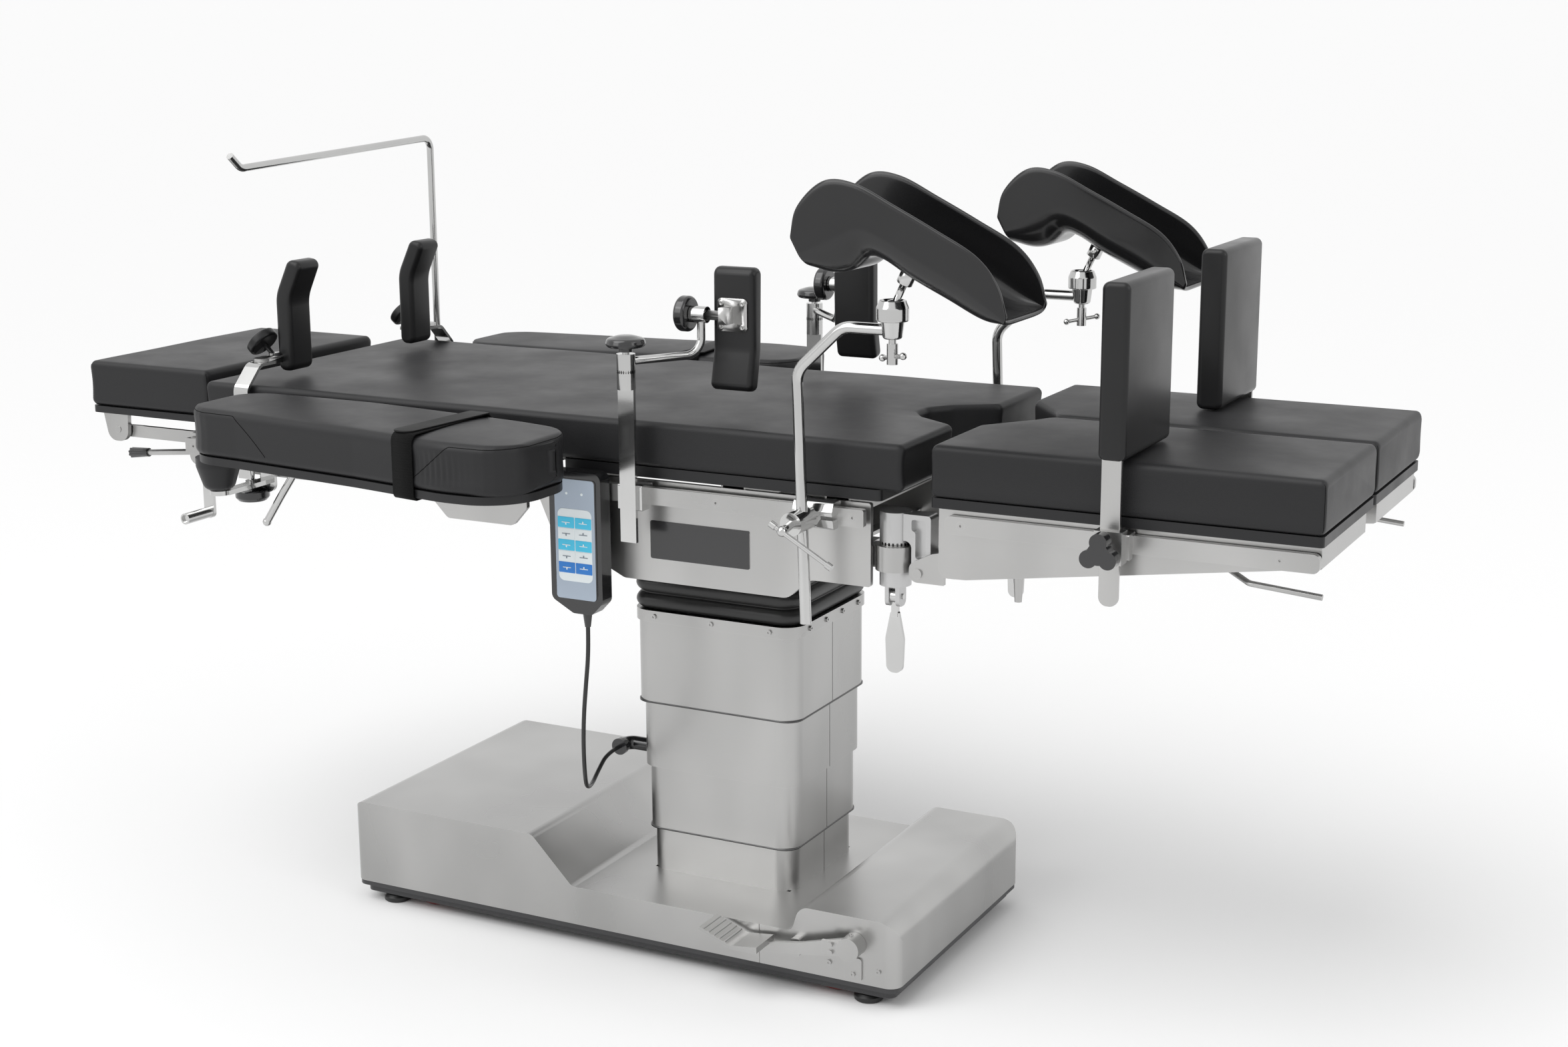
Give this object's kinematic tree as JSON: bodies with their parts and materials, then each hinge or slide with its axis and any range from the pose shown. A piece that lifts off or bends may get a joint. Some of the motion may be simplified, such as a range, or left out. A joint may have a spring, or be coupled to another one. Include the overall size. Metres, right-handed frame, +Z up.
{
  "type": "operating table",
  "caption": "Operating table on a telescoping column with hinged back and head, split legs, side rails, arm boards, leg troughs and supports",
  "frame": {"origin": "on the floor under the middle of the table's length and width", "axes": "+X along the table towards the legs, +Y towards the far side of the picture, +Z up"},
  "size_m": [2.1, 1.0228, 1.2178],
  "materials": {
    "pad": "matt synthetic leather over foam",
    "board": "satin black laminate",
    "stainless": "brushed stainless steel",
    "chrome": "polished",
    "rubber": "black rubber",
    "gloss_black": "gloss black plastic",
    "moulded": "satin black moulded foam skin",
    "cast": "polished casting",
    "chassis": "black paint",
    "wheel": "dark red tyre"
  },
  "bodies": {
    "base": {"base_chassis": "chassis", "base_cover": "stainless", "floor_feet": "rubber", "column_cover_base": "stainless"},
    "head_castors": {"castor_wheels_head": "wheel"},
    "foot_castors": {"castor_wheels_foot": "wheel"},
    "pedal": {"brake_pedal": "stainless"},
    "column_lower": {"column_cover_lower": "stainless"},
    "column_middle": {"column_cover_middle": "stainless", "cable_socket": "gloss_black"},
    "column_upper": {"column_cover_upper": "stainless", "mast_top_stage": "chassis", "bellows": "rubber"},
    "cradle": {"tilt_cradle": "chassis"},
    "seat": {"seat_frame": "stainless", "seat_rails": "stainless", "seat_board": "board", "seat_pad": "pad", "controller_body": "gloss_black", "controller_cord": "rubber", "seat_rail_clamps": "chrome"},
    "back": {"back_frame": "stainless", "back_rails": "stainless", "back_board": "board", "back_pad": "pad", "pad_fold": "pad", "back_rail_clamps": "chrome"},
    "head_link": {"head_link": "stainless"},
    "head_release": {"head_lever": "stainless"},
    "crank": {"head_crank": "chrome"},
    "head_plate": {"head_ears": "stainless", "head_board": "board", "head_pad": "pad"},
    "screen": {"screen_rod": "chrome"},
    "leg_yoke_front": {"leg_yoke_front": "cast"},
    "leg_front": {"leg_frame_front": "stainless", "leg_board_front": "board", "leg_pad_front": "pad"},
    "leg_lever_front": {"leg_clamp_lever_front": "chrome"},
    "arm_front": {"arm_board_front": "board", "arm_pad_front": "pad"},
    "shoulder_front": {"shoulder_pad_front": "moulded"},
    "lateral_arm_front": {"lateral_arm_front": "chrome"},
    "lateral_pad_front": {"lateral_pad_front": "moulded"},
    "holder_front": {"holder_rod_front": "chrome"},
    "trough_front": {"holder_trough_front": "moulded"},
    "side_support_front": {"side_support_front": "pad"},
    "leg_yoke_rear": {"leg_yoke_rear": "cast"},
    "leg_rear": {"leg_frame_rear": "stainless", "leg_board_rear": "board", "leg_pad_rear": "pad"},
    "leg_lever_rear": {"leg_clamp_lever_rear": "chrome"},
    "arm_rear": {"arm_board_rear": "board", "arm_pad_rear": "pad"},
    "shoulder_rear": {"shoulder_pad_rear": "moulded"},
    "lateral_arm_rear": {"lateral_arm_rear": "chrome"},
    "lateral_pad_rear": {"lateral_pad_rear": "moulded"},
    "holder_rear": {"holder_rod_rear": "chrome"},
    "trough_rear": {"holder_trough_rear": "moulded"},
    "side_support_rear": {"side_support_rear": "pad"}
  },
  "joints": [
    {"name": "head_castor_axle", "type": "hinge", "parent": "base", "child": "head_castors", "pos_m": [-0.396, 0, 0.052], "axis": [0, 1, 0], "continuous": true},
    {"name": "foot_castor_axle", "type": "hinge", "parent": "base", "child": "foot_castors", "pos_m": [0.334, 0, 0.052], "axis": [0, 1, 0], "continuous": true},
    {"name": "pedal_press", "type": "hinge", "parent": "base", "child": "pedal", "pos_m": [0.385, -0.254, 0.098], "axis": [0, -1, 0], "range_deg": [-8, 12]},
    {"name": "lift", "type": "slide", "parent": "base", "child": "column_upper", "axis": [0, 0, 1], "range_m": [-0.15, 0.14], "deforming": ["controller_cord"]},
    {"name": "column_middle_slide", "type": "slide", "parent": "base", "child": "column_middle", "axis": [0, 0, 1], "range_m": [-0.101, 0.094], "deforming": ["controller_cord"]},
    {"name": "column_lower_slide", "type": "slide", "parent": "base", "child": "column_lower", "axis": [0, 0, 1], "range_m": [-0.051, 0.048]},
    {"name": "trendelenburg", "type": "hinge", "parent": "column_upper", "child": "cradle", "pos_m": [0.089, 0, 0.578], "axis": [0, -1, 0], "range_deg": [-25, 25], "deforming": ["bellows", "controller_cord"]},
    {"name": "lateral_tilt", "type": "hinge", "parent": "cradle", "child": "seat", "pos_m": [0.089, 0, 0.578], "axis": [1, 0, 0], "range_deg": [-18, 18], "deforming": ["bellows", "controller_cord"]},
    {"name": "back_hinge", "type": "hinge", "parent": "seat", "child": "back", "pos_m": [-0.125, 0, 0.742], "axis": [0, 1, 0], "range_deg": [-25, 75], "deforming": ["pad_fold"]},
    {"name": "head_link_hinge", "type": "hinge", "parent": "back", "child": "head_link", "pos_m": [-0.83, 0, 0.715], "axis": [0, 1, 0], "range_deg": [-45, 12]},
    {"name": "head_plate_hinge", "type": "hinge", "parent": "head_link", "child": "head_plate", "pos_m": [-1, 0, 0.744], "axis": [0, -1, 0], "range_deg": [-2, 40]},
    {"name": "head_release_pull", "type": "hinge", "parent": "head_link", "child": "head_release", "pos_m": [-0.852, -0.174, 0.711], "axis": [0, 1, 0], "range_deg": [-8, 4]},
    {"name": "crank_turn", "type": "hinge", "parent": "back", "child": "crank", "pos_m": [-0.783, -0.245, 0.712], "axis": [0, 1, 0], "range_deg": [-75, 75]},
    {"name": "screen_swivel", "type": "hinge", "parent": "back", "child": "screen", "pos_m": [-0.704, 0.29, 0.76], "axis": [0, 0, 1], "range_deg": [-90, 40]},
    {"name": "leg_swing_front", "type": "hinge", "parent": "seat", "child": "leg_yoke_front", "pos_m": [0.441, -0.23, 0.706], "axis": [0, 0, -1], "range_deg": [0, 60]},
    {"name": "leg_fold_front", "type": "hinge", "parent": "leg_yoke_front", "child": "leg_front", "pos_m": [0.485, -0.23, 0.67], "axis": [0, 1, 0], "range_deg": [-5, 90]},
    {"name": "leg_lever_front", "type": "hinge", "parent": "leg_yoke_front", "child": "leg_lever_front", "pos_m": [0.441, -0.23, 0.628], "axis": [-1, 0, 0], "range_deg": [0, 90]},
    {"name": "arm_swivel_front", "type": "hinge", "parent": "back", "child": "arm_front", "pos_m": [-0.632, -0.39, 0.74], "axis": [0, 0, -1], "range_deg": [0, 90]},
    {"name": "shoulder_slide_front", "type": "slide", "parent": "back", "child": "shoulder_front", "axis": [0, 1, 0], "range_m": [-0.015, 0.03]},
    {"name": "lateral_swing_front", "type": "hinge", "parent": "seat", "child": "lateral_arm_front", "pos_m": [0.05, -0.3, 0.929], "axis": [0, 0, 1], "range_deg": [-45, 45]},
    {"name": "lateral_pad_tilt_front", "type": "hinge", "parent": "lateral_arm_front", "child": "lateral_pad_front", "pos_m": [0.116, -0.198, 1.0012], "axis": [1, 0, 0], "range_deg": [-20, 20]},
    {"name": "holder_height_front", "type": "slide", "parent": "seat", "child": "holder_front", "axis": [-0.0353, 0, 0.9994], "range_m": [-0.05, 0.08]},
    {"name": "trough_tilt_front", "type": "hinge", "parent": "holder_front", "child": "trough_front", "pos_m": [0.473, -0.315, 1.044], "axis": [0, 1, 0], "range_deg": [-10, 10]},
    {"name": "side_support_height_front", "type": "slide", "parent": "leg_front", "child": "side_support_front", "axis": [0, 0, 1], "range_m": [0, 0.05]},
    {"name": "leg_swing_rear", "type": "hinge", "parent": "seat", "child": "leg_yoke_rear", "pos_m": [0.441, 0.23, 0.706], "axis": [0, 0, 1], "range_deg": [0, 60]},
    {"name": "leg_fold_rear", "type": "hinge", "parent": "leg_yoke_rear", "child": "leg_rear", "pos_m": [0.485, 0.23, 0.67], "axis": [0, 1, 0], "range_deg": [-5, 90]},
    {"name": "leg_lever_rear", "type": "hinge", "parent": "leg_yoke_rear", "child": "leg_lever_rear", "pos_m": [0.441, 0.23, 0.628], "axis": [1, 0, 0], "range_deg": [0, 90]},
    {"name": "arm_swivel_rear", "type": "hinge", "parent": "back", "child": "arm_rear", "pos_m": [-0.632, 0.39, 0.74], "axis": [0, 0, 1], "range_deg": [0, 90]},
    {"name": "shoulder_slide_rear", "type": "slide", "parent": "back", "child": "shoulder_rear", "axis": [0, -1, 0], "range_m": [-0.015, 0.03]},
    {"name": "lateral_swing_rear", "type": "hinge", "parent": "seat", "child": "lateral_arm_rear", "pos_m": [0.05, 0.3, 0.929], "axis": [0, 0, 1], "range_deg": [-45, 45]},
    {"name": "lateral_pad_tilt_rear", "type": "hinge", "parent": "lateral_arm_rear", "child": "lateral_pad_rear", "pos_m": [0.144, 0.198, 1.0012], "axis": [1, 0, 0], "range_deg": [-20, 20]},
    {"name": "holder_height_rear", "type": "slide", "parent": "seat", "child": "holder_rear", "axis": [-0.0353, 0, 0.9994], "range_m": [-0.05, 0.08]},
    {"name": "trough_tilt_rear", "type": "hinge", "parent": "holder_rear", "child": "trough_rear", "pos_m": [0.509, 0.315, 1.017], "axis": [0, 1, 0], "range_deg": [-10, 10]},
    {"name": "side_support_height_rear", "type": "slide", "parent": "leg_rear", "child": "side_support_rear", "axis": [0, 0, 1], "range_m": [0, 0.05]}
  ],
  "couplings": [
    {"joint": "column_middle_slide", "follows": "lift", "ratio": 0.6667},
    {"joint": "column_lower_slide", "follows": "lift", "ratio": 0.3333}
  ]
}
